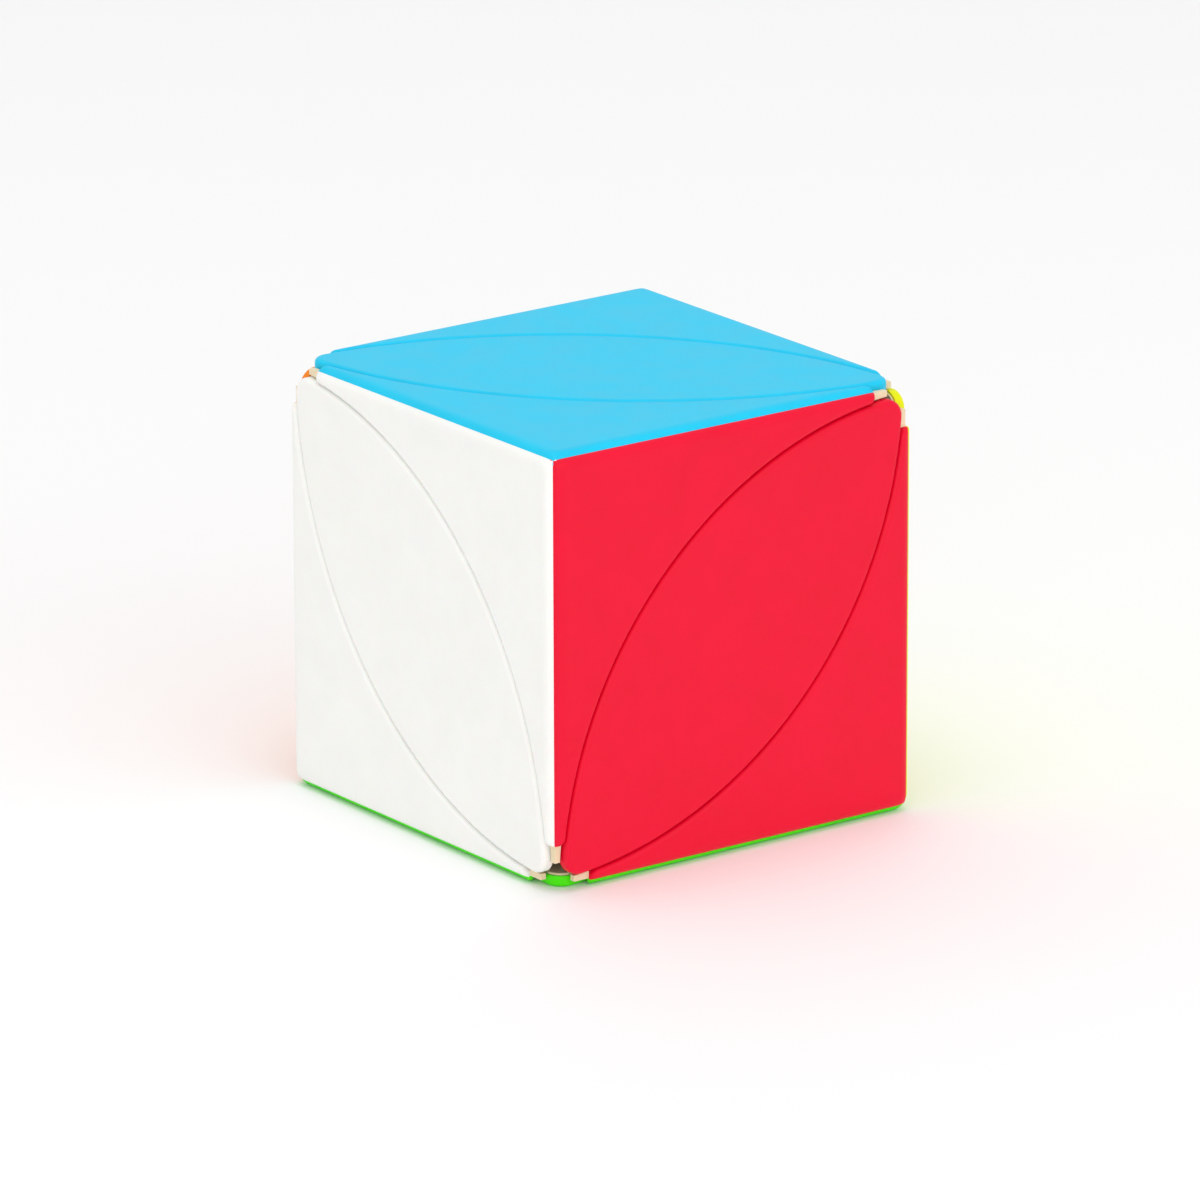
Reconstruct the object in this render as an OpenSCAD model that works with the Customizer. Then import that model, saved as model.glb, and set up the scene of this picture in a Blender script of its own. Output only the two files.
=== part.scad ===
// Leaf-cut cube: four corners turn on a ball core, and six leaves travel with them.
// Millimetres, +Z up, origin at the middle of the bottom face.

/* [Cube] */
// Edge of the cube over its coloured tiles
cube_edge = 56; // [54:1:75]
// How far each round cut stops short of the next cube corner
cut_short = 1.8; // [1.7:0.1:2.4]
// Gap between two pieces that turn past each other
turn_gap = 0.4; // [0.3:0.05:0.5]

/* [Tiles] */
// Thickness of a coloured tile
tile_t = 1.5; // [1:0.1:1.6]
// Radius of the rounded end of a leaf
leaf_tip_r = 2.15; // [1.6:0.05:2.6]
// Radius of the rounded end of a petal
petal_tip_r = 1.04; // [0.8:0.02:1.2]
// Chamfer of the tiles along the cube's edges
edge_chamfer = 0.7; // [0.3:0.1:1]
// Seam between two petals that meet at a cube edge
seam = 0.1; // [0.05:0.05:0.3]
// Radius of a locating pin under a tile
pin_r = 1.1; // [0.8:0.1:1.4]
// Length of a locating pin
pin_len = 2; // [1:0.25:3]
// Clearance round a locating pin
pin_gap = 0.1; // [0.05:0.05:0.2]

/* [Bases] */
// How far the base stands back from the tiles where it shows past the petal ends
nib_inset = 1; // [0.2:0.05:1.1]
// Distance from the end of that nib to the cube corner it points to
nib_short = 3.9; // [3:0.1:5]
// How far a leaf base stands back from the rim of its tile
rim_inset = 0.15; // [0.05:0.05:0.4]
// Radius of the neck that joins a leaf to its foot
neck_r = 5; // [3:0.5:6]

/* [Core] */
// Radius of the ball core
core_r = 15.5; // [14:0.5:16]
// Depth of the flat seat under each corner
seat_depth = 1; // [0.5:0.1:1.5]
// Gap between the core, the feet of the leaves and the corners over them
layer_gap = 0.3; // [0.2:0.05:0.4]
// Thickness of the leaves' feet
foot_t = 6; // [4:0.5:6.5]
// Radius of the stem of a corner
stem_r = 3.6; // [3:0.1:4]
// Thickness of the corner's floor under its spring
floor_t = 1.9; // [1.5:0.1:3]

/* [Screws and springs] */
// Radius of a screw's shank
screw_r = 1.25; // [1:0.05:1.5]
// Length of shank held in the core
screw_bite = 7; // [5:0.5:9]
// Running clearance of a screw through its corner
screw_gap = 0.3; // [0.1:0.05:0.4]
// Radius of a screw's head
head_r = 2.6; // [2.2:0.1:3]
// Height of a screw's head
head_h = 1.8; // [1.4:0.1:2.2]
// Depth of the head below the place where it would reach the tiles
head_cover = 6.4; // [2:0.2:8]
// Radius of a washer
washer_r = 2.9; // [2.8:0.05:3.1]
// Thickness of a washer
washer_t = 0.5; // [0.3:0.1:0.8]
// Thickness of the spring wire
wire_d = 0.6; // [0.4:0.05:0.7]
// Radius of the spring to the middle of its wire
spring_r = 2.45; // [2.2:0.05:2.5]
// Open turns of the spring, between one closed turn at each end
spring_turns = 4; // [3:1:6]

/* [Hidden] */
half = cube_edge / 2;
vertex_rho = half * sqrt(3);            // core centre to a cube corner
face_diag = half * sqrt(2);             // face centre to a cube corner
tilt = acos(1 / sqrt(3));               // cube diagonal against the upright
cut_r = cube_edge - cut_short;          // nominal radius of a round cut
inner_cut_r = cut_r - turn_gap / 2;     // what travels with a corner stays inside this
outer_cut_r = cut_r + turn_gap / 2;     // what stands still stays outside this
blend = 0.01;                           // lap of a tip's arc over the sides it rounds

// Middle of a leaf's tip arc, so that the arc runs into both sides of the leaf
leaf_tip_c = sqrt(pow(inner_cut_r - leaf_tip_r, 2) - pow(face_diag, 2));
// Middle of a petal's tip arc, from the cube corner, along the edge
petal_tip_c = sqrt(pow(outer_cut_r + petal_tip_r, 2) - pow(cube_edge - petal_tip_r, 2));
petal_end = petal_tip_c - petal_tip_r;  // cube corner to the end of a petal
nib_clear = 0.1;                        // petal end to nib
nib_w = 3;                              // a nib before the round cuts trim it

seat_rho = core_r - seat_depth;
foot_in_r = core_r + layer_gap;
foot_out_r = foot_in_r + foot_t;
corner_in_r = foot_out_r + layer_gap;
floor_rho = corner_in_r + floor_t;
touch = 0.03;                           // room left where two pieces only touch

// A foot clears the stems by cones whose sides run along the other corners' axes
axes_sin = sqrt(8) / 3;                 // sine of the angle between two corner axes
cone_slope = 1 / sqrt(8);               // drop of a cone per unit of radius
cone_top = (stem_r + layer_gap) / axes_sin;
cone_gap = layer_gap / axes_sin;
cone_len = foot_out_r + cone_top + 2;

head_top = (half - tile_t) * sqrt(3) - head_r * sqrt(2) - head_cover;
head_seat = head_top - head_h;
washer_low = head_seat - washer_t;
pocket_r = washer_r + 0.4;
recess_w = 0.7;                         // width of the cross in a screw head
recess_len = 3;
recess_depth = 1;
tap_gap = 0.02;                         // screw to its hole in the core

spring_len = washer_low - floor_rho - 2 * touch;
ring_steps = 16;                        // rings of the wire to a turn
wire_sides = 6;
closed_pitch = wire_d * 1.05;
open_pitch = (spring_len - wire_d - 2 * closed_pitch) / spring_turns;

// Middles of the locating pins on the top face
petal_pins = [[half - 13, 13 - half], [half - 26, 5 - half], [half - 5, 26 - half]];
leaf_pins = [[12, 12], [-12, -12]];

blue = "#5ad2f3";
white = "#eeeeec";
red = "#fc1c46";
orange = "#fa9100";
yellow = "#e8f000";
green = "#3ce100";
cream = "#e6dcc0";

// Corner name, the turn that brings the front corner there, and the face of each petal
corners = [
    ["front", [0, 0, 0], ["blue", "white", "red"]],
    ["back", [0, 0, 180], ["blue", "yellow", "orange"]],
    ["left", [0, 180, 0], ["green", "white", "orange"]],
    ["right", [180, 0, 0], ["green", "yellow", "red"]],
];
// Leaf name, and the two turns that bring the top leaf there
leaves = [
    ["blue", [0, 0, 0], 0],
    ["white", [0, 0, 0], 120],
    ["red", [0, 0, 0], 240],
    ["yellow", [0, 0, 180], 120],
    ["orange", [0, 0, 180], 240],
    ["green", [180, 0, 0], 0],
];
function face_colour(name) =
    name == "blue" ? blue : name == "white" ? white : name == "red" ? red :
    name == "orange" ? orange : name == "yellow" ? yellow : green;

$fn = 96;

// ---- places ----

// Core centre at the origin, z running out through corner i
module corner_axis(i) {
    rotate(corners[i][1]) rotate([0, tilt, -45]) children();
}

// Moves what is made for the front corner to corner i
module at_corner(i) {
    translate([0, 0, half]) rotate(corners[i][1]) children();
}

// Moves what is made for the top face of the front corner to its face k
module at_face(k) {
    rotate(a = 120 * k, v = [1, -1, 1]) children();
}

module at_leaf(i) {
    translate([0, 0, half]) rotate(leaves[i][1]) rotate(a = leaves[i][2], v = [1, -1, 1]) children();
}

// ---- cutting surfaces ----

// Ball round cube corner i
module corner_ball(i, r) {
    corner_axis(i) translate([0, 0, vertex_rho]) rotate([0, 0, 20]) sphere(r, $fn = 180);
}

// Ball round the core centre
module centre_ball(r) {
    rotate([0, 0, 10]) sphere(r);
}

// Everything below the cone that a turn of corner i sweeps
module below_cone(i, top) {
    corner_axis(i) translate([0, 0, top - cone_len]) rotate([0, 0, 20])
        cylinder(h = cone_len, r1 = cone_len / cone_slope, r2 = 0);
}

// ---- outlines on the top face ----

module leaf_outline(inset) {
    reach = leaf_tip_c * (inner_cut_r - inset) / (inner_cut_r - leaf_tip_r);
    rotate(45) intersection() {
        translate([0, face_diag]) circle(inner_cut_r - inset, $fn = 180);
        translate([0, -face_diag]) circle(inner_cut_r - inset, $fn = 180);
        union() {
            square([2 * reach, cube_edge], center = true);
            for (side = [-1, 1])
                translate([side * leaf_tip_c, 0]) circle(leaf_tip_r - inset + blend);
        }
    }
}

module petal_outline() {
    intersection() {
        difference() {
            square(cube_edge, center = true);
            translate([-half, half]) circle(outer_cut_r, $fn = 180);
        }
        union() {
            translate([petal_tip_c - half, -cube_edge])
                square([cube_edge, cube_edge + half - petal_tip_c]);
            translate([petal_tip_c - half, petal_tip_r - half]) circle(petal_tip_r + blend);
            translate([half - petal_tip_r, half - petal_tip_c]) circle(petal_tip_r + blend);
        }
    }
}

// ---- tiles ----

// What a tile loses along one cube edge: the half under the mitre, and the chamfer
module edge_cut() {
    translate([0, -half, half]) {
        rotate([-45, 0, 0]) translate([-cube_edge, -cube_edge, seam / 2 - cube_edge])
            cube([2 * cube_edge, 2 * cube_edge, cube_edge]);
        rotate([45, 0, 0]) translate([-cube_edge, -cube_edge, -edge_chamfer / sqrt(2)])
            cube([2 * cube_edge, 2 * cube_edge, cube_edge]);
    }
}

module pins(places, r, length) {
    for (p = places) translate([p[0], p[1], half - tile_t - length]) cylinder(h = length, r = r, $fn = 32);
}

module petal_tile(i, k) {
    color(face_colour(corners[i][2][k])) at_corner(i) at_face(k) {
        difference() {
            translate([0, 0, half - tile_t]) linear_extrude(tile_t) petal_outline();
            edge_cut();
            rotate([0, 0, 90]) edge_cut();
        }
        pins(petal_pins, pin_r, pin_len);
    }
}

module leaf_tile(i) {
    color(face_colour(leaves[i][0])) at_leaf(i) {
        translate([0, 0, half - tile_t]) linear_extrude(tile_t) leaf_outline(0);
        pins(leaf_pins, pin_r, pin_len);
    }
}

// ---- bases ----

module sockets(places) {
    pins(places, pin_r + pin_gap, pin_len + 2 * pin_gap);
}

// Block along the top front edge, from the end of a petal to the end of the nib
module nib() {
    translate([nib_short - half, nib_inset - half, half - nib_w])
        cube([petal_end - nib_clear - nib_short, nib_w - nib_inset, nib_w - nib_inset]);
}

// Space past the end of the nib, where the base would thin out to nothing
module past_nib() {
    translate([-cube_edge, -cube_edge, 0])
        cube([half + nib_short, cube_edge, cube_edge]);
}

module corner_shell() {
    difference() {
        intersection() {
            union() {
                cube(cube_edge - 2 * tile_t, center = true);
                for (k = [0:2]) at_face(k) nib();
            }
            corner_ball(0, inner_cut_r);
        }
        centre_ball(corner_in_r);
        for (i = [1:3]) corner_ball(i, outer_cut_r);
        for (k = [0:2]) at_face(k) past_nib();
    }
}

module corner_base(i) {
    color(cream) at_corner(i) difference() {
        union() {
            corner_shell();
            corner_axis(0) translate([0, 0, seat_rho + touch])
                cylinder(h = floor_rho - seat_rho - touch, r = stem_r);
        }
        corner_axis(0) {
            cylinder(h = vertex_rho, r = screw_r + screw_gap, $fn = 48);
            translate([0, 0, floor_rho]) cylinder(h = vertex_rho, r = pocket_r, $fn = 48);
        }
        for (k = [0:2]) at_face(k) sockets(petal_pins);
    }
}

module leaf_block() {
    difference() {
        intersection() {
            linear_extrude(half - tile_t) leaf_outline(rim_inset);
            corner_ball(0, inner_cut_r - rim_inset);
            corner_ball(1, inner_cut_r - rim_inset);
        }
        centre_ball(corner_in_r);
        corner_ball(2, outer_cut_r);
        corner_ball(3, outer_cut_r);
    }
}

module leaf_foot() {
    difference() {
        intersection() {
            centre_ball(foot_out_r);
            below_cone(2, cone_top - cone_gap);
            below_cone(3, cone_top - cone_gap);
        }
        centre_ball(foot_in_r);
        below_cone(0, cone_top);
        below_cone(1, cone_top);
    }
}

module leaf_base(i) {
    color(cream) at_leaf(i) difference() {
        union() {
            leaf_block();
            leaf_foot();
            translate([0, 0, foot_in_r + 1]) cylinder(h = corner_in_r + 2 - foot_in_r, r = neck_r);
        }
        sockets(leaf_pins);
    }
}

// ---- core, screws, washers and springs ----

module core() {
    color(cream) translate([0, 0, half]) difference() {
        centre_ball(core_r);
        for (i = [0:3]) corner_axis(i) {
            translate([0, 0, seat_rho]) cylinder(h = core_r, r = stem_r + layer_gap);
            translate([0, 0, seat_rho - screw_bite - 0.5])
                cylinder(h = core_r, r = screw_r + tap_gap, $fn = 48);
        }
    }
}

module screw(i) {
    color("#b9bcc0") translate([0, 0, half]) corner_axis(i) difference() {
        union() {
            translate([0, 0, seat_rho - screw_bite])
                cylinder(h = head_seat - seat_rho + screw_bite + 0.1, r = screw_r, $fn = 48);
            translate([0, 0, head_seat]) cylinder(h = head_h / 2, r = head_r, $fn = 48);
            translate([0, 0, head_seat + head_h / 2])
                cylinder(h = head_h / 2, r1 = head_r, r2 = head_r - head_h / 3, $fn = 48);
        }
        for (turn = [0, 90]) rotate([0, 0, turn])
            translate([-recess_len / 2, -recess_w / 2, head_top - recess_depth])
                cube([recess_len, recess_w, 2 * recess_depth]);
    }
}

module washer(i) {
    color("#c9ccd0") translate([0, 0, half]) corner_axis(i) translate([0, 0, washer_low])
        difference() {
            cylinder(h = washer_t, r = washer_r, $fn = 48);
            translate([0, 0, -1]) cylinder(h = washer_t + 2, r = screw_r + screw_gap, $fn = 48);
        }
}

// Height of the wire's middle after t turns: one closed turn, the open ones, one closed turn
function coil_height(t) =
    t < 1 ? t * closed_pitch :
    t < 1 + spring_turns ? closed_pitch + (t - 1) * open_pitch :
    closed_pitch + spring_turns * open_pitch + (t - 1 - spring_turns) * closed_pitch;

module spring(i) {
    rings = (spring_turns + 2) * ring_steps;
    points = [for (n = [0:rings]) let (t = n / ring_steps, turn = 360 * t)
        for (s = [0:wire_sides - 1]) let (
            a = 360 * s / wire_sides,
            r = spring_r + wire_d / 2 * cos(a))
            [r * cos(turn), r * sin(turn), wire_d / 2 + coil_height(t) + wire_d / 2 * sin(a)]];
    sides = [for (n = [0:rings - 1]) for (s = [0:wire_sides - 1])
        let (a = n * wire_sides + s, b = n * wire_sides + (s + 1) % wire_sides)
            [a, a + wire_sides, b + wire_sides, b]];
    first = [for (s = [0:wire_sides - 1]) s];
    last = [for (s = [wire_sides - 1:-1:0]) rings * wire_sides + s];
    color("#9fa3a8") translate([0, 0, half]) corner_axis(i)
        translate([0, 0, floor_rho + touch]) polyhedron(points, concat([first], sides, [last]));
}

core();
for (i = [0:3]) {
    corner_base(i);
    screw(i);
    washer(i);
    spring(i);
    for (k = [0:2])
        petal_tile(i, k);
}
for (i = [0:5]) {
    leaf_base(i);
    leaf_tile(i);
}
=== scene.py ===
# Leaf-cut cube puzzle: frosted ABS petals and leaves on cream bases, round a sprung ball core.
import math

import bmesh
import bpy
import numpy as np
from mathutils import Matrix, Vector
from mathutils.geometry import delaunay_2d_cdt


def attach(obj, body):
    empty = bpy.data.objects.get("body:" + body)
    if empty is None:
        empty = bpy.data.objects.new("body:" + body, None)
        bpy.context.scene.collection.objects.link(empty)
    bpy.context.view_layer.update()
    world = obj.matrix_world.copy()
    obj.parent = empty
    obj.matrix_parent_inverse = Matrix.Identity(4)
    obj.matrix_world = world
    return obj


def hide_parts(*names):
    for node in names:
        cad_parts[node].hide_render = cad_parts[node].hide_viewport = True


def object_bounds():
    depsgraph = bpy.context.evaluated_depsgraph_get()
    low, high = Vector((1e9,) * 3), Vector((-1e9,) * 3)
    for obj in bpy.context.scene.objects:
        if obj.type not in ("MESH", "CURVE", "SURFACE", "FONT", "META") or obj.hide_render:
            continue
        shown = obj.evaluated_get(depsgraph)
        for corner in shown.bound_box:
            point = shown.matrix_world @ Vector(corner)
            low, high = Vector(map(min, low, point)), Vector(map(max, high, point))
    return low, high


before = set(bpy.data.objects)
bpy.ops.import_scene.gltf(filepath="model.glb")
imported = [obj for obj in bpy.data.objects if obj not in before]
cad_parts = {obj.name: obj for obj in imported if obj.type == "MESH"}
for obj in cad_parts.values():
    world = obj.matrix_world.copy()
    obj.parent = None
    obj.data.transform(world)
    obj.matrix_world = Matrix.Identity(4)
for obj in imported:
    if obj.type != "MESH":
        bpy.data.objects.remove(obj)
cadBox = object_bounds()

mm = 0.001
scene = bpy.context.scene
cubeEdge = (cadBox[1][0] - cadBox[0][0]) / mm
half = cubeEdge / 2
centre = Vector((0, 0, half * mm))
faceDiag = half * math.sqrt(2)

# how the front corner's top face gets to every other place
cornerTurns = {
    "front": Matrix.Identity(3),
    "back": Matrix.Rotation(math.pi, 3, "Z"),
    "left": Matrix.Rotation(math.pi, 3, "Y"),
    "right": Matrix.Rotation(math.pi, 3, "X"),
}
petalColours = {
    "front": ("blue", "white", "red"),
    "back": ("blue", "yellow", "orange"),
    "left": ("green", "white", "orange"),
    "right": ("green", "yellow", "red"),
}
leafPlaces = {
    "blue": ("front", 0),
    "white": ("front", 1),
    "red": ("front", 2),
    "yellow": ("back", 1),
    "orange": ("back", 2),
    "green": ("right", 0),
}


def placeTurn(corner, face):
    about = Matrix.Rotation(2 * math.pi / 3 * face, 3, Vector((1, -1, 1)).normalized())
    return cornerTurns[corner] @ about


def meshObject(name, points, faces):
    mesh = bpy.data.meshes.new(name)
    mesh.from_pydata([tuple(p) for p in points], [], faces)
    mesh.update()
    for polygon in mesh.polygons:
        polygon.use_smooth = True
    obj = bpy.data.objects.new(name, mesh)
    scene.collection.objects.link(obj)
    return obj


# sRGB hex to the linear values that sockets take
def linear(hexColour):
    channels = [int(hexColour[i:i + 2], 16) / 255 for i in (1, 3, 5)]
    steps = [c / 12.92 if c <= 0.04045 else ((c + 0.055) / 1.055) ** 2.4 for c in channels]
    return (*steps, 1.0)


def addNode(tree, kind, settings=None, inputs=None):
    node = tree.nodes.new(kind)
    for key, value in (settings or {}).items():
        setattr(node, key, value)
    for key, value in (inputs or {}).items():
        if isinstance(value, bpy.types.NodeSocket):
            tree.links.new(value, node.inputs[key])
        else:
            node.inputs[key].default_value = value
    return node


def newMaterial(name):
    material = bpy.data.materials.new(name)
    material.use_nodes = True
    material.node_tree.nodes.clear()
    return material, material.node_tree


# ABS moulded in a spark-eroded tool: an even frost that spreads highlights, faint flow mottling,
# and a little light let in under the skin
frostedAbs = {
    "ior": 1.54,
    "specular": 0.2,         # the frost's pits swallow part of the mirror light
    "roughness": (0.4, 0.5),
    "grain": 0.35,           # mm between the frost's pits, drawn coarser than the real 0.05 to show
    "grainDepth": 0.012,     # mm
    "grainShare": 0.7,       # how strongly the frost tilts the light
    "mottle": 5.0,           # mm across a patch of flow mottling
    "mottleEdge": (0.3, 0.7),  # where in the noise the deep tint ends and the light one starts
    "wave": 14.0,            # mm across a shallow sink
    "waveDepth": 0.05,       # mm
    "waveShare": 0.35,       # how strongly the sinks tilt it
    "skin": 0.12,            # share of the light that goes in under the skin
    "skinDepth": 0.6,        # mm
}


def frostedPlastic(name, colour, deep):
    material, tree = newMaterial(name)
    place = addNode(tree, "ShaderNodeTexCoord").outputs["Object"]
    perMm = 1 / mm
    low, high = frostedAbs["mottleEdge"]
    mottle = addNode(tree, "ShaderNodeTexNoise", None, {
        "Vector": place, "Scale": perMm / frostedAbs["mottle"], "Detail": 4.0, "Roughness": 0.55})
    grain = addNode(tree, "ShaderNodeTexNoise", None, {
        "Vector": place, "Scale": perMm / frostedAbs["grain"], "Detail": 2.0, "Roughness": 0.6})
    wave = addNode(tree, "ShaderNodeTexNoise", None, {
        "Vector": place, "Scale": perMm / frostedAbs["wave"], "Detail": 1.0})
    tint = addNode(tree, "ShaderNodeValToRGB", None, {"Fac": mottle.outputs["Fac"]})
    for stop, share, shade in zip(tint.color_ramp.elements, (low, high), (deep, colour)):
        stop.position = share
        stop.color = linear(shade)
    gloss = addNode(tree, "ShaderNodeMapRange", None, {
        "Value": mottle.outputs["Fac"], "From Min": low, "From Max": high,
        "To Min": frostedAbs["roughness"][0], "To Max": frostedAbs["roughness"][1]})
    sink = addNode(tree, "ShaderNodeBump", None, {
        "Height": wave.outputs["Fac"], "Strength": frostedAbs["waveShare"],
        "Distance": frostedAbs["waveDepth"] * mm})
    frost = addNode(tree, "ShaderNodeBump", None, {
        "Height": grain.outputs["Fac"], "Strength": frostedAbs["grainShare"],
        "Distance": frostedAbs["grainDepth"] * mm, "Normal": sink.outputs["Normal"]})
    shader = addNode(tree, "ShaderNodeBsdfPrincipled", None, {
        "Base Color": tint.outputs["Color"], "Roughness": gloss.outputs["Result"],
        "Normal": frost.outputs["Normal"], "IOR": frostedAbs["ior"],
        "Specular IOR Level": frostedAbs["specular"],
        "Subsurface Weight": frostedAbs["skin"], "Subsurface Scale": frostedAbs["skinDepth"] * mm})
    addNode(tree, "ShaderNodeOutputMaterial", None, {"Surface": shader.outputs["BSDF"]})
    return material


# zinc-plated screws and washers: bright and slightly milky, with short streaks from the plating
zincPlate = {
    "colour": "#c4c8cc",
    "gleam": "#e2e4e6",    # tint of the brightest streaks
    "roughness": (0.22, 0.4),
    "streak": 0.3,         # mm
    "streakDepth": 0.01,   # mm
}
# spring wire drawn through a die: darker and a little duller, with finer streaks
drawnWire = {
    "colour": "#9a9ea3",
    "gleam": "#e2e4e6",
    "roughness": (0.26, 0.44),
    "streak": 0.15,
    "streakDepth": 0.01,
}


def streakedSteel(name, finish):
    material, tree = newMaterial(name)
    place = addNode(tree, "ShaderNodeTexCoord").outputs["Object"]
    streaks = addNode(tree, "ShaderNodeTexNoise", None, {
        "Vector": place, "Scale": 1 / (finish["streak"] * mm), "Detail": 3.0, "Distortion": 0.4})
    gloss = addNode(tree, "ShaderNodeMapRange", None, {
        "Value": streaks.outputs["Fac"],
        "To Min": finish["roughness"][0], "To Max": finish["roughness"][1]})
    scratch = addNode(tree, "ShaderNodeBump", None, {
        "Height": streaks.outputs["Fac"], "Strength": 0.4, "Distance": finish["streakDepth"] * mm})
    # sockets 6, 7 and 2 are the mix node's two colours and its result
    tint = addNode(tree, "ShaderNodeMix", {"data_type": "RGBA"}, {
        "Factor": streaks.outputs["Fac"], 6: linear(finish["colour"]), 7: linear(finish["gleam"])})
    shader = addNode(tree, "ShaderNodeBsdfPrincipled", None, {
        "Base Color": tint.outputs[2], "Metallic": 1.0,
        "Roughness": gloss.outputs["Result"], "Normal": scratch.outputs["Normal"]})
    addNode(tree, "ShaderNodeOutputMaterial", None, {"Surface": shader.outputs["BSDF"]})
    return material


# each colour with the deeper tint of its flow mottling; the core is nylon, whose undyed skin is
# frosted by the mould in the same way
plastics = {
    "blue": frostedPlastic("sky blue frosted ABS", "#18caf0", "#14c4ea"),
    "white": frostedPlastic("white frosted ABS", "#f7f7f3", "#f4f4f0"),
    "red": frostedPlastic("red frosted ABS", "#ee0033", "#e8002e"),
    "orange": frostedPlastic("orange frosted ABS", "#fc8a00", "#f68200"),
    "yellow": frostedPlastic("lemon frosted ABS", "#ecf000", "#e6ea00"),
    "green": frostedPlastic("green frosted ABS", "#52f400", "#48ea00"),
    "cream": frostedPlastic("undyed cream ABS", "#f0dfbd", "#e9d6b0"),
    "core": frostedPlastic("natural nylon core", "#dfd8c8", "#d6cebc"),
}
zincSteel = streakedSteel("zinc-plated steel", zincPlate)
springSteel = streakedSteel("drawn spring steel", drawnWire)
print("materials ready")


# each geometry tree takes its sizes as named inputs, the material last
def newTree(name, inputs):
    tree = bpy.data.node_groups.new(name, "GeometryNodeTree")
    tree.interface.new_socket("Geometry", in_out="INPUT", socket_type="NodeSocketGeometry")
    for label, kind in inputs.items():
        tree.interface.new_socket(label, in_out="INPUT", socket_type="NodeSocket" + kind)
    tree.interface.new_socket("Material", in_out="INPUT", socket_type="NodeSocketMaterial")
    tree.interface.new_socket("Geometry", in_out="OUTPUT", socket_type="NodeSocketGeometry")
    return tree, addNode(tree, "NodeGroupInput").outputs


def endTree(tree, geometry, material):
    real = addNode(tree, "GeometryNodeRealizeInstances", None, {"Geometry": geometry})
    smooth = addNode(tree, "GeometryNodeSetShadeSmooth", None, {"Geometry": real.outputs[0]})
    finish = addNode(tree, "GeometryNodeSetMaterial", None, {
        "Geometry": smooth.outputs[0], "Material": material})
    addNode(tree, "NodeGroupOutput", None, {"Geometry": finish.outputs[0]})
    return tree


def sumOf(tree, *values):
    total = values[0]
    for value in values[1:]:
        total = addNode(tree, "ShaderNodeMath", {"operation": "ADD"}, {0: total, 1: value}).outputs[0]
    return total


def wireTree():
    # a closed turn at each end of the open ones
    tree, given = newTree("sprung wire", {
        "Radius": "Float", "Wire Radius": "Float", "Turns": "Float", "Closed Pitch": "Float",
        "Open Pitch": "Float", "Steps": "Int", "Sides": "Int"})
    turns = sumOf(tree, given["Turns"], 2.0)
    circle = addNode(tree, "GeometryNodeCurveSpiral", None, {
        "Resolution": given["Steps"], "Rotations": turns,
        "Start Radius": given["Radius"], "End Radius": given["Radius"], "Height": 0.0})
    along = addNode(tree, "GeometryNodeSplineParameter").outputs["Factor"]
    turn = addNode(tree, "ShaderNodeMath", {"operation": "MULTIPLY"}, {0: along, 1: turns}).outputs[0]
    lastOpen = sumOf(tree, given["Turns"], 1.0)
    openRise = addNode(tree, "ShaderNodeMath", {"operation": "MULTIPLY"}, {
        0: given["Turns"], 1: given["Open Pitch"]}).outputs[0]
    stretches = [(0.0, 1.0, given["Closed Pitch"]), (1.0, lastOpen, openRise),
                 (lastOpen, turns, given["Closed Pitch"])]
    rises = [addNode(tree, "ShaderNodeMapRange", None, {
        "Value": turn, "From Min": low, "From Max": high, "To Max": rise}).outputs[0]
        for low, high, rise in stretches]
    lift = addNode(tree, "ShaderNodeCombineXYZ", None, {"Z": sumOf(tree, *rises)})
    placed = addNode(tree, "GeometryNodeSetPosition", None, {
        "Geometry": circle.outputs[0], "Offset": lift.outputs[0]})
    section = addNode(tree, "GeometryNodeCurvePrimitiveCircle", None, {
        "Resolution": given["Sides"], "Radius": given["Wire Radius"]})
    wire = addNode(tree, "GeometryNodeCurveToMesh", None, {
        "Curve": placed.outputs[0], "Profile Curve": section.outputs[0], "Fill Caps": True})
    return endTree(tree, wire.outputs[0], given["Material"])


def threadTree():
    # a ridge of three sides wound round every screw; the points give each screw's tip and direction
    tree, given = newTree("screw threads", {
        "Radius": "Float", "Ridge": "Float", "Pitch": "Float", "Length": "Float", "Steps": "Int"})
    turns = addNode(tree, "ShaderNodeMath", {"operation": "DIVIDE"}, {
        0: given["Length"], 1: given["Pitch"]}).outputs[0]
    helix = addNode(tree, "GeometryNodeCurveSpiral", None, {
        "Resolution": given["Steps"], "Rotations": turns,
        "Start Radius": given["Radius"], "End Radius": given["Radius"], "Height": given["Length"]})
    section = addNode(tree, "GeometryNodeCurvePrimitiveCircle", None, {
        "Resolution": 3, "Radius": given["Ridge"]})
    ridge = addNode(tree, "GeometryNodeCurveToMesh", None, {
        "Curve": helix.outputs[0], "Profile Curve": section.outputs[0], "Fill Caps": True})
    outward = addNode(tree, "GeometryNodeInputPosition").outputs[0]
    aim = addNode(tree, "FunctionNodeAlignRotationToVector", {"axis": "Z"}, {"Vector": outward})
    spread = addNode(tree, "GeometryNodeInstanceOnPoints", None, {
        "Points": given["Geometry"], "Instance": ridge.outputs[0], "Rotation": aim.outputs[0]})
    return endTree(tree, spread.outputs[0], given["Material"])


def pinTree():
    tree, given = newTree("locating pins", {"Radius": "Float", "Length": "Float", "Sides": "Int"})
    pin = addNode(tree, "GeometryNodeMeshCylinder", None, {
        "Vertices": given["Sides"], "Radius": given["Radius"], "Depth": given["Length"]})
    spread = addNode(tree, "GeometryNodeInstanceOnPoints", None, {
        "Points": given["Geometry"], "Instance": pin.outputs["Mesh"]})
    return endTree(tree, spread.outputs[0], given["Material"])


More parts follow.
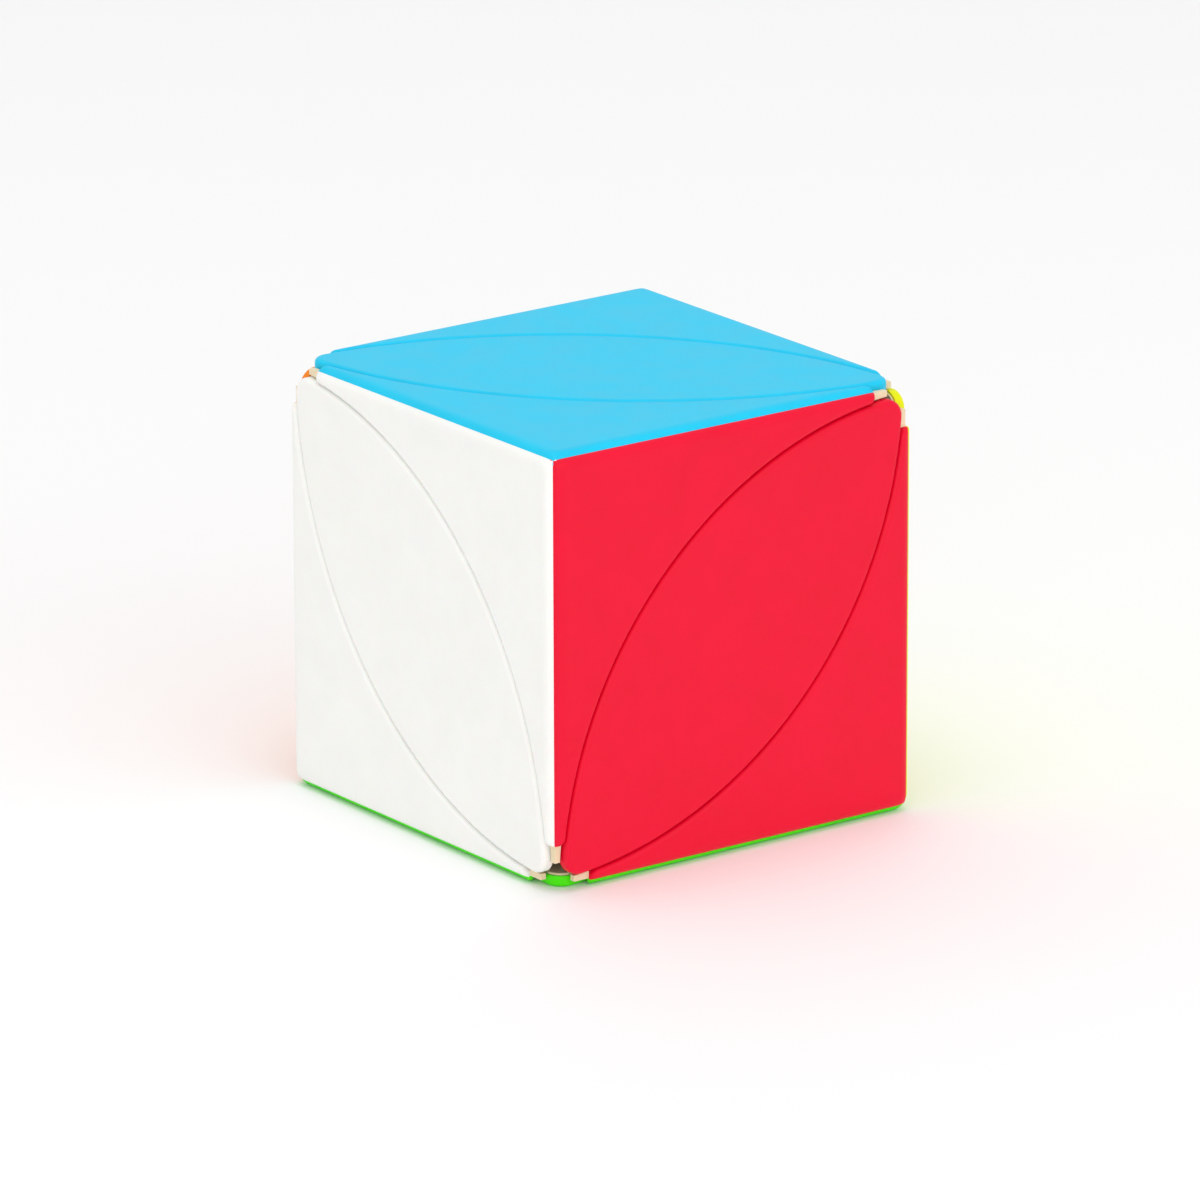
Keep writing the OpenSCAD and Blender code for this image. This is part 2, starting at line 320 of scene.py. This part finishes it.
def runTree(name, tree, points, values):
    start = bpy.data.meshes.new(name + "Start")
    start.from_pydata(points, [], [])
    obj = bpy.data.objects.new(name, start)
    scene.collection.objects.link(obj)
    modifier = obj.modifiers.new(name, "NODES")
    modifier.node_group = tree
    for socket in tree.interface.items_tree:
        if socket.in_out == "INPUT" and socket.name in values:
            modifier[socket.identifier] = values[socket.name]
    ready = obj.evaluated_get(bpy.context.evaluated_depsgraph_get())
    mesh = bpy.data.meshes.new_from_object(ready)
    obj.modifiers.clear()
    obj.data = mesh
    mesh.name = name
    return obj


pinPoints = pinTree()


# in mm, for the top face beside the front corner; placeTurn takes them to the other faces
tile = {
    "thickness": 1.5,
    "cutShort": 1.8,      # a round cut stops this far short of the next corner
    "turnGap": 0.4,       # between the bases on the two sides of a cut
    "leafTip": 2.15,      # radius of a leaf's tip
    "petalTip": 1.04,     # radius of a petal's tip
    "edgeRound": 2.1,     # rounding of the cube's edges
    "rim": 0.65,          # rounding of a tile's own rim
    "lip": 0.13,          # each tile's skin swells this far into the turning gap
    "seam": 0.08,         # between the mitred edges of two petals
    "cornerRound": 0.5,   # rounding of the outline at the cube's corner
    "pinRadius": 1.1,
    "pinLength": 2.0,
    "leafPins": ((12, 12), (-12, -12)),          # from the middle of the face
    "petalPins": ((13, 13), (26, 5), (5, 26)),   # from the petal's corner of the cube
}
# how finely a tile is divided, in mm unless it says otherwise
tileMesh = {
    "step": 0.7,          # between points along an outline
    "perRadian": 9,       # fewest points along an arc
    "rimAngles": (75, 60, 45, 30, 15, 0),        # degrees round the rim
    "rows": (0.8, 1.1, 1.4, 1.7, 2.0, 2.3, 3.2),  # insets of the rows past the rim
    "thinFrom": 2.5,      # a row further in than this keeps only every third point
    "thin": 3,
    "slack": 0.004,       # a row's points that fall this much short of its inset are dropped
    "grid": 3.5,          # between points in the flat middle
    "gridInset": 4.2,
    "pinSides": 24,
    "sharp": 40,          # degrees, past which an edge shades sharp
}
leafCut = cubeEdge - tile["cutShort"] - tile["turnGap"] / 2 + tile["lip"]
petalCut = cubeEdge - tile["cutShort"] + tile["turnGap"] / 2 - tile["lip"]
leafTipRadius = tile["leafTip"] + tile["lip"]
petalTipRadius = tile["petalTip"] + tile["lip"]
leafTipAt = math.sqrt((leafCut - leafTipRadius) ** 2 - faceDiag ** 2)
petalTipIn = tile["petalTip"]  # from the cube's side to the middle of a petal's tip arc
petalTipAt = math.sqrt((petalCut + petalTipRadius) ** 2 - (cubeEdge - petalTipIn) ** 2)
mitreInset = tile["edgeRound"] * (1 - math.sqrt(0.5)) + tile["seam"] / math.sqrt(2)
nearCorner = np.array((half, -half))
farCorner = np.array((-half, half))


def arc(middle, radius, start, end):
    swing = abs(end - start)
    count = max(3, int(swing * radius / tileMesh["step"]), int(swing * tileMesh["perRadian"]))
    angles = np.linspace(start, end, count)
    return np.array(middle) + radius * np.stack([np.cos(angles), np.sin(angles)], 1)


def line(start, end):
    count = max(2, int(np.linalg.norm(np.subtract(end, start)) / tileMesh["step"]))
    return np.linspace(start, end, count)


def loop(parts):
    # the end of each part repeats the start of the next
    points = np.concatenate(parts)
    ahead = np.roll(points, -1, 0)
    return points[np.linalg.norm(ahead - points, axis=1) > 1e-4]


def leafLoop():
    tips = [leafTipAt / math.sqrt(2) * np.array((s, s)) for s in (1, -1)]
    swing = math.atan2(leafTipAt, faceDiag)
    diagonal = 0.75 * math.pi
    return loop([
        arc(nearCorner, leafCut, diagonal - swing, diagonal + swing),
        arc(tips[1], leafTipRadius, diagonal + swing, diagonal + math.pi - swing),
        arc(farCorner, leafCut, diagonal + math.pi - swing, diagonal + math.pi + swing),
        arc(tips[0], leafTipRadius, diagonal - math.pi + swing, diagonal - swing),
    ])


def petalLoop():
    r = petalTipRadius
    edge = half - mitreInset
    upper = (half - petalTipIn, half - petalTipAt)
    lower = (petalTipAt - half, petalTipIn - half)
    lean = math.atan2(petalTipAt, cubeEdge - petalTipIn)
    reach = math.acos((petalTipIn - mitreInset) / r)
    bend = tile["cornerRound"]
    return loop([
        arc((edge - bend, bend - edge), bend, -math.pi / 2, 0),
        line((edge, bend - edge), (edge, upper[1] + r * math.sin(reach))),
        arc(upper, r, reach, math.pi - lean),
        arc(farCorner, petalCut, -lean, lean - math.pi / 2),
        arc(lower, r, math.pi / 2 + lean, 1.5 * math.pi - reach),
        line((lower[0] - r * math.sin(reach), -edge), (edge - bend, -edge)),
    ])


# how far points lie inside the leaf's outline
def leafInset(p):
    inset = np.minimum(leafCut - np.linalg.norm(p - nearCorner, axis=1),
                       leafCut - np.linalg.norm(p - farCorner, axis=1))
    for side in (1, -1):
        tip = side * leafTipAt / math.sqrt(2) * np.ones(2)
        basis = np.stack([tip - nearCorner, tip - farCorner], 1)
        weights = (p - tip) @ np.linalg.inv(basis).T
        inTip = (weights > 0).all(1)
        inset[inTip] = leafTipRadius - np.linalg.norm(p[inTip] - tip, axis=1)
    return inset


# how far points lie inside the petal's outline
def petalInset(p):
    edge = half - mitreInset
    inset = np.minimum.reduce([edge - p[:, 0], edge + p[:, 1],
                               np.linalg.norm(p - farCorner, axis=1) - petalCut])
    r = petalTipRadius
    tips = [(half - petalTipIn, half - petalTipAt), (petalTipAt - half, petalTipIn - half)]
    for tip, out in zip(tips, ((1, 0), (0, -1))):
        tip = np.array(tip)
        basis = np.stack([farCorner - tip, np.array(out)], 1)
        weights = (p - tip) @ np.linalg.inv(basis).T
        inTip = (weights > 0).all(1)
        inset[inTip] = np.minimum(inset[inTip], r - np.linalg.norm(p[inTip] - tip, axis=1))
    return inset


# how far a petal's skin falls away where it rounds the cube's edges and corner
def edgeDrop(p):
    r = tile["edgeRound"]
    across = np.maximum(0, p[:, 0] - (half - r))
    along = np.maximum(0, -p[:, 1] - (half - r))
    return r - np.sqrt(np.maximum(0, r * r - across ** 2 - along ** 2))


def rimDrop(inset):
    rim = tile["rim"]
    left = np.clip(rim - inset, 0, rim)
    return rim - np.sqrt(np.maximum(0, rim ** 2 - left ** 2))


def pinMesh(name, places):
    # a pin starts a little inside its tile; it is part of the same moulding and takes its colour later
    length = tile["pinLength"] + tile["lip"]
    low = half - tile["thickness"] - tile["pinLength"] + length / 2
    obj = runTree(name, pinPoints, [(x, y, low) for x, y in places], {
        "Radius": tile["pinRadius"], "Length": length, "Sides": tileMesh["pinSides"],
        "Material": plastics["cream"]})
    mesh = obj.data
    bpy.data.objects.remove(obj)
    mesh.materials.clear()
    return mesh


def buildTile(name, outline, insetOf, drop, mitred, pins):
    # the outline's inward direction at each point
    h = 1e-4
    slope = np.stack([(insetOf(outline + (h, 0)) - insetOf(outline - (h, 0))) / (2 * h),
                      (insetOf(outline + (0, h)) - insetOf(outline - (0, h))) / (2 * h)], 1)
    slope /= np.linalg.norm(slope, axis=1)[:, None]

    # rows of points from the rim inwards, then a plain grid
    angles = np.radians(tileMesh["rimAngles"])
    rows = [tile["rim"] * (1 - math.sin(a)) for a in angles] + list(tileMesh["rows"])
    inner = []
    for depth in rows:
        row = outline + slope * depth
        kept = row[insetOf(row) > depth - tileMesh["slack"]]
        inner.append(kept if depth < tileMesh["thinFrom"] else kept[::tileMesh["thin"]])
    spacing = np.arange(-half, half, tileMesh["grid"])
    grid = np.stack(np.meshgrid(spacing, spacing), -1).reshape(-1, 2)
    inner.append(grid[insetOf(grid) > tileMesh["gridInset"]])
    flat = np.concatenate([outline] + inner)
    count = len(outline)
    verts, _, faces, *_ = delaunay_2d_cdt(
        [Vector(p) for p in flat], [], [list(range(count))], 1, 1e-5)
    flat = np.array([tuple(v) for v in verts])
    inset = np.maximum(0, insetOf(flat))
    height = half - (drop(flat) if drop else 0) - rimDrop(inset)
    points = [(x, y, z) for (x, y), z in zip(flat, height)]

    # the flat underside, and the side walls; a mitred tile leans in at the cube's edges
    floor = half - tile["thickness"]
    limit = floor - tile["seam"] / math.sqrt(2) if mitred else cubeEdge
    base = len(points)
    points += [(min(x, limit), max(y, -limit), floor) for x, y in flat[:count]]
    faces = [tuple(f) for f in faces]
    for i in range(count):
        j = (i + 1) % count
        faces.append((i, base + i, base + j, j))
    faces.append(tuple(base + i for i in reversed(range(count))))
    mesh = bmesh.new()
    made = [mesh.verts.new(p) for p in points]
    for face in faces:
        mesh.faces.new([made[i] for i in face])
    bmesh.ops.recalc_face_normals(mesh, faces=mesh.faces)
    mesh.from_mesh(pinMesh(name + " pins", pins))
    data = bpy.data.meshes.new(name)
    mesh.to_mesh(data)
    mesh.free()
    print(name, len(data.vertices), "points")
    return data


def placeTile(master, name, node, turn, body, colour):
    mesh = master.copy()
    mesh.name = name
    mesh.transform(Matrix.Translation(centre) @ turn.to_4x4() @ Matrix.Scale(mm, 4))
    mesh.materials.append(plastics[colour])
    for polygon in mesh.polygons:
        polygon.use_smooth = True
    obj = bpy.data.objects.new(name, mesh)
    scene.collection.objects.link(obj)
    mesh.set_sharp_from_angle(angle=math.radians(tileMesh["sharp"]))
    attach(obj, body)
    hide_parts(node)


petalPins = [(half - x, y - half) for x, y in tile["petalPins"]]
leafMaster = buildTile("leaf tile", leafLoop(), leafInset, None, False, tile["leafPins"])
petalMaster = buildTile("petal tile", petalLoop(), petalInset, edgeDrop, True, petalPins)
for colour, (corner, face) in leafPlaces.items():
    placeTile(leafMaster, "leafTile" + colour.capitalize(), "leaf_tile_" + colour,
              placeTurn(corner, face), "leaf_" + colour, colour)
for corner, colours in petalColours.items():
    for face, colour in enumerate(colours):
        placeTile(petalMaster, "petal" + corner.capitalize() + colour.capitalize(),
                  "petal_" + corner + "_" + colour, placeTurn(corner, face), "corner_" + corner, colour)
print("tiles ready")


# millimetres
spring = {
    "wire": 0.6,
    "radius": 2.45,      # to the middle of the wire
    "turns": 4,          # open turns, between one closed turn at each end
    "closedPitch": 0.63,
    "steps": 36,         # rings of the wire to a turn
    "sides": 14,
    "sharp": 40,         # degrees
}
thread = {
    "radius": 1.25,
    "ridge": 0.26,       # radius of the three-sided ridge
    "pitch": 1.0,
    "bite": 6.6,         # threaded length in the core
    "runIn": 0.2,        # plain length at the screw's tip
    "steps": 28,         # rings of the ridge to a turn
    "sharp": 30,         # degrees
}


def cornerAxis(corner):
    return (cornerTurns[corner] @ Vector((1, -1, 1))).normalized()


def spanOnAxis(node, corner):
    axis = cornerAxis(corner)
    along = [axis.dot(v.co - centre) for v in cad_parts[node].data.vertices]
    return min(along), max(along)


def buildSprings():
    tree = wireTree()
    for corner in cornerTurns:
        low, high = spanOnAxis("spring_" + corner, corner)
        openLength = (high - low) / mm - spring["wire"] - 2 * spring["closedPitch"]
        obj = runTree("spring" + corner.capitalize(), tree, [(0, 0, 0)], {
            "Radius": spring["radius"] * mm, "Wire Radius": spring["wire"] / 2 * mm,
            "Turns": float(spring["turns"]), "Closed Pitch": spring["closedPitch"] * mm,
            "Open Pitch": openLength / spring["turns"] * mm, "Steps": spring["steps"],
            "Sides": spring["sides"], "Material": springSteel})
        turn = cornerAxis(corner).to_track_quat("Z", "Y").to_matrix().to_4x4()
        lift = Matrix.Translation((0, 0, low + spring["wire"] / 2 * mm))
        obj.data.transform(Matrix.Translation(centre) @ turn @ lift)
        obj.data.set_sharp_from_angle(angle=math.radians(spring["sharp"]))
        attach(obj, "corner_" + corner)
        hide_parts("spring_" + corner)


def buildThreads():
    # the ridges stand on the plain shanks of the screws, in the core
    runIn = thread["runIn"] * mm
    tips = [cornerAxis(c) * (spanOnAxis("screw_" + c, c)[0] + runIn) for c in cornerTurns]
    obj = runTree("screwThreads", threadTree(), [tuple(p) for p in tips], {
        "Radius": thread["radius"] * mm, "Ridge": thread["ridge"] * mm,
        "Pitch": thread["pitch"] * mm, "Length": thread["bite"] * mm,
        "Steps": thread["steps"], "Material": zincSteel})
    obj.data.transform(Matrix.Translation(centre))
    obj.data.set_sharp_from_angle(angle=math.radians(thread["sharp"]))
    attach(obj, "core")


buildSprings()
buildThreads()
print("springs and threads ready")


# the inner parts keep their shapes and get their finish
innerFinish = {
    "core": plastics["core"],
    "screw_": zincSteel,
    "washer_": zincSteel,
    "corner_": plastics["cream"],
    "leaf_base_": plastics["cream"],
}
for name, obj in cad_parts.items():
    for start, material in innerFinish.items():
        if name.startswith(start):
            for slot in obj.material_slots:
                slot.material = material
print("bases, core and fasteners finished")


# where the camera stands: degrees, metres, and millimetres of lens and sensor
view = {
    "azimuth": 53.43,      # round from the white face's side
    "elevation": 17.27,
    "roll": -0.17,
    "distance": 1.2592,
    "drop": 0.0021,        # the aim, below the cube's middle
    "lens": 303.0,
    "sensor": 36.0,
}
# a sheet of white paper, flat under the cube and swept up behind it, in metres
paper = {
    "colour": "#fbfbfb",
    "roughness": 0.7,
    "tooth": 1.1 * mm,     # between the bumps of the paper's surface
    "toothDepth": 0.05 * mm,
    "width": 3.0,          # to each side, and towards the camera
    "back": 1.1,           # where it starts to bend
    "bend": 0.5,
    "rise": 1.2,
    "steps": 16,
}
lights = {
    "overhead": {"place": (0.1, -0.2, 1.25), "size": 0.7, "power": 3.4},
    "side": {"place": (1.15, 0.05, 0.55), "size": 0.8, "power": 1.9},
    "front": {"place": (0.84, -0.62, 0.16), "size": 0.6, "power": 1.5},
}
roomGlow = 0.79


def paleFloor():
    profile = [(-paper["width"], 0)]
    for i in range(paper["steps"] + 1):
        a = math.pi / 2 * i / paper["steps"]
        profile.append((paper["back"] + paper["bend"] * math.sin(a),
                        paper["bend"] * (1 - math.cos(a))))
    profile.append((paper["back"] + paper["bend"], paper["rise"]))
    azimuth = math.radians(view["azimuth"])
    away = Vector((-math.sin(azimuth), math.cos(azimuth), 0))
    side = Vector((math.cos(azimuth), math.sin(azimuth), 0))
    points, faces = [], []
    for reach, height in profile:
        for s in (-1, 1):
            points.append(away * reach + side * (s * paper["width"]) + Vector((0, 0, height)))
    for i in range(len(profile) - 1):
        faces.append((2 * i, 2 * i + 1, 2 * i + 3, 2 * i + 2))
    floor = meshObject("paperSweep", points, faces)
    material, tree = newMaterial("white paper sweep")
    place = addNode(tree, "ShaderNodeTexCoord").outputs["Object"]
    tooth = addNode(tree, "ShaderNodeTexNoise", None, {"Vector": place, "Scale": 1 / paper["tooth"]})
    bump = addNode(tree, "ShaderNodeBump", None, {
        "Height": tooth.outputs["Fac"], "Strength": 0.1, "Distance": paper["toothDepth"]})
    shader = addNode(tree, "ShaderNodeBsdfPrincipled", None, {
        "Base Color": linear(paper["colour"]), "Roughness": paper["roughness"],
        "Normal": bump.outputs["Normal"]})
    addNode(tree, "ShaderNodeOutputMaterial", None, {"Surface": shader.outputs["BSDF"]})
    floor.data.materials.append(material)


def softLight(name, place, size, power):
    data = bpy.data.lights.new(name, "AREA")
    data.shape = "SQUARE"
    data.size = size
    data.energy = power
    obj = bpy.data.objects.new(name, data)
    obj.location = place
    obj.rotation_euler = (centre - Vector(place)).to_track_quat("-Z", "Y").to_euler()
    scene.collection.objects.link(obj)


def brightRoom():
    world = bpy.data.worlds.new("bright room")
    world.use_nodes = True
    glow = world.node_tree.nodes["Background"].inputs
    glow["Color"].default_value = (1, 1, 1, 1)
    glow["Strength"].default_value = roomGlow
    scene.world = world


def placeCamera():
    az, el, roll = (math.radians(view[k]) for k in ("azimuth", "elevation", "roll"))
    back = Vector((math.cos(el) * math.sin(az), -math.cos(el) * math.cos(az), math.sin(el)))
    level = Vector((math.cos(az), math.sin(az), 0))
    upright = back.cross(level)
    right = level * math.cos(roll) + upright * math.sin(roll)
    up = upright * math.cos(roll) - level * math.sin(roll)
    data = bpy.data.cameras.new("camera")
    data.lens = view["lens"]
    data.sensor_width = view["sensor"]
    data.clip_end = 20  # metres, past the paper
    obj = bpy.data.objects.new("camera", data)
    turn = Matrix((right, up, back)).transposed()
    stand = centre + back * view["distance"] - up * view["drop"]
    obj.matrix_world = Matrix.Translation(stand) @ turn.to_4x4()
    scene.collection.objects.link(obj)
    scene.camera = obj


paleFloor()
for name, light in lights.items():
    softLight(name, **light)
brightRoom()
placeCamera()
scene.view_settings.view_transform = "Standard"
print("floor, light and camera ready")
